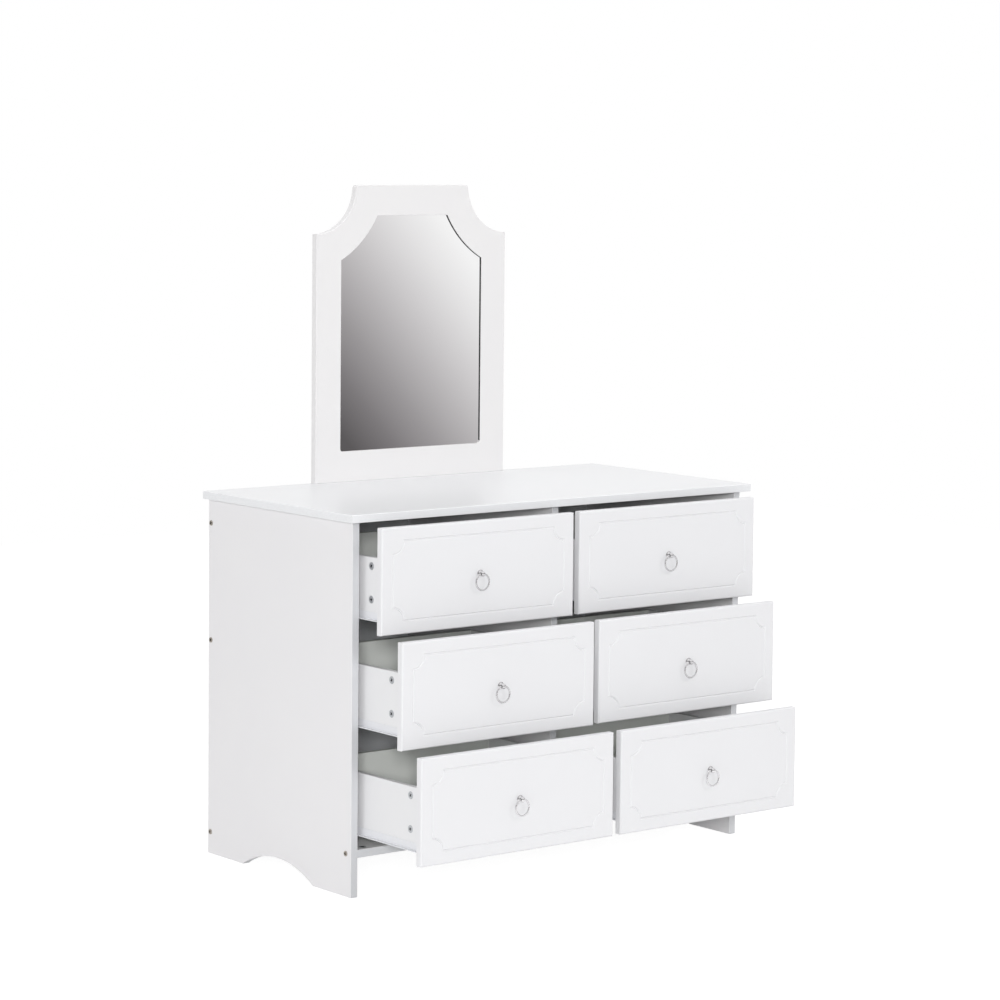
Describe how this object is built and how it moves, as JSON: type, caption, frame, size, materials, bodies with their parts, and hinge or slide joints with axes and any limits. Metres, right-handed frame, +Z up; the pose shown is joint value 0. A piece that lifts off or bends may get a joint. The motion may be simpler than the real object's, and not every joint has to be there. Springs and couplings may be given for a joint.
{
  "type": "dresser with mirror",
  "caption": "White flat-pack dresser with columns of inset drawers, notched routed lines, hanging ring pulls, arched feet and a standing mirror with scooped corners.",
  "frame": {"origin": "middle of the bounding box on the floor, with the drawers pulled out in steps as stored", "axes": "+X to the right as seen from the front, +Y from the drawer fronts to the back, +Z up"},
  "size_m": [1.038, 0.725, 1.374],
  "materials": {
    "white_board": "satin white foil on particle board",
    "white_hardboard": "thin white lacquer on hardboard",
    "brown_hardboard": "bare hardboard",
    "silvered_glass": "back-silvered float glass",
    "white_enamel_steel": "white powder coat",
    "zinc_plated_steel": "bright zinc plate",
    "chromed_metal": "nickel-chrome plate"
  },
  "bodies": {
    "carcass": {"top_panel": "white_board", "left_side_panel": "white_board", "right_side_panel": "white_board", "centre_divider": "white_board", "bottom_panel": "white_board", "back_panel": "white_hardboard", "back_rails": "white_board", "mirror_frame": "white_board", "mirror_glass": "silvered_glass", "mirror_backboard": "brown_hardboard", "cabinet_runners": "white_enamel_steel", "carcass_fasteners": "zinc_plated_steel"},
    "lower_left_drawer": {"lower_left_drawer_front": "white_board", "lower_left_drawer_left_side": "white_board", "lower_left_drawer_right_side": "white_board", "lower_left_drawer_back": "white_board", "lower_left_drawer_bottom": "white_hardboard", "lower_left_drawer_hardware": "white_enamel_steel", "lower_left_drawer_pull_post": "chromed_metal"},
    "lower_left_ring": {"lower_left_drawer_pull_ring": "chromed_metal"},
    "lower_right_drawer": {"lower_right_drawer_front": "white_board", "lower_right_drawer_left_side": "white_board", "lower_right_drawer_right_side": "white_board", "lower_right_drawer_back": "white_board", "lower_right_drawer_bottom": "white_hardboard", "lower_right_drawer_hardware": "white_enamel_steel", "lower_right_drawer_pull_post": "chromed_metal"},
    "lower_right_ring": {"lower_right_drawer_pull_ring": "chromed_metal"},
    "middle_left_drawer": {"middle_left_drawer_front": "white_board", "middle_left_drawer_left_side": "white_board", "middle_left_drawer_right_side": "white_board", "middle_left_drawer_back": "white_board", "middle_left_drawer_bottom": "white_hardboard", "middle_left_drawer_hardware": "white_enamel_steel", "middle_left_drawer_pull_post": "chromed_metal"},
    "middle_left_ring": {"middle_left_drawer_pull_ring": "chromed_metal"},
    "middle_right_drawer": {"middle_right_drawer_front": "white_board", "middle_right_drawer_left_side": "white_board", "middle_right_drawer_right_side": "white_board", "middle_right_drawer_back": "white_board", "middle_right_drawer_bottom": "white_hardboard", "middle_right_drawer_hardware": "white_enamel_steel", "middle_right_drawer_pull_post": "chromed_metal"},
    "middle_right_ring": {"middle_right_drawer_pull_ring": "chromed_metal"},
    "upper_left_drawer": {"upper_left_drawer_front": "white_board", "upper_left_drawer_left_side": "white_board", "upper_left_drawer_right_side": "white_board", "upper_left_drawer_back": "white_board", "upper_left_drawer_bottom": "white_hardboard", "upper_left_drawer_hardware": "white_enamel_steel", "upper_left_drawer_pull_post": "chromed_metal"},
    "upper_left_ring": {"upper_left_drawer_pull_ring": "chromed_metal"},
    "upper_right_drawer": {"upper_right_drawer_front": "white_board", "upper_right_drawer_left_side": "white_board", "upper_right_drawer_right_side": "white_board", "upper_right_drawer_back": "white_board", "upper_right_drawer_bottom": "white_hardboard", "upper_right_drawer_hardware": "white_enamel_steel", "upper_right_drawer_pull_post": "chromed_metal"},
    "upper_right_ring": {"upper_right_drawer_pull_ring": "chromed_metal"}
  },
  "joints": [
    {"name": "lower_left_slide", "type": "slide", "parent": "carcass", "child": "lower_left_drawer", "axis": [0, -1, 0], "range_m": [-0.203, 0.067]},
    {"name": "lower_left_ring_hinge", "type": "hinge", "parent": "lower_left_drawer", "child": "lower_left_ring", "pos_m": [-0.248, -0.357, 0.1985], "axis": [-1, 0, 0], "range_deg": [-10, 95]},
    {"name": "lower_right_slide", "type": "slide", "parent": "carcass", "child": "lower_right_drawer", "axis": [0, -1, 0], "range_m": [-0.202, 0.068]},
    {"name": "lower_right_ring_hinge", "type": "hinge", "parent": "lower_right_drawer", "child": "lower_right_ring", "pos_m": [0.248, -0.356, 0.1985], "axis": [-1, 0, 0], "range_deg": [-10, 95]},
    {"name": "middle_left_slide", "type": "slide", "parent": "carcass", "child": "middle_left_drawer", "axis": [0, -1, 0], "range_m": [-0.14, 0.13]},
    {"name": "middle_left_ring_hinge", "type": "hinge", "parent": "middle_left_drawer", "child": "middle_left_ring", "pos_m": [-0.248, -0.294, 0.411], "axis": [-1, 0, 0], "range_deg": [-10, 95]},
    {"name": "middle_right_slide", "type": "slide", "parent": "carcass", "child": "middle_right_drawer", "axis": [0, -1, 0], "range_m": [-0.131, 0.139]},
    {"name": "middle_right_ring_hinge", "type": "hinge", "parent": "middle_right_drawer", "child": "middle_right_ring", "pos_m": [0.248, -0.285, 0.411], "axis": [-1, 0, 0], "range_deg": [-10, 95]},
    {"name": "upper_left_slide", "type": "slide", "parent": "carcass", "child": "upper_left_drawer", "axis": [0, -1, 0], "range_m": [-0.072, 0.198]},
    {"name": "upper_left_ring_hinge", "type": "hinge", "parent": "upper_left_drawer", "child": "upper_left_ring", "pos_m": [-0.248, -0.226, 0.6235], "axis": [-1, 0, 0], "range_deg": [-10, 95]},
    {"name": "upper_right_slide", "type": "slide", "parent": "carcass", "child": "upper_right_drawer", "axis": [0, -1, 0], "range_m": [-0.066, 0.204]},
    {"name": "upper_right_ring_hinge", "type": "hinge", "parent": "upper_right_drawer", "child": "upper_right_ring", "pos_m": [0.248, -0.22, 0.6235], "axis": [-1, 0, 0], "range_deg": [-10, 95]}
  ]
}
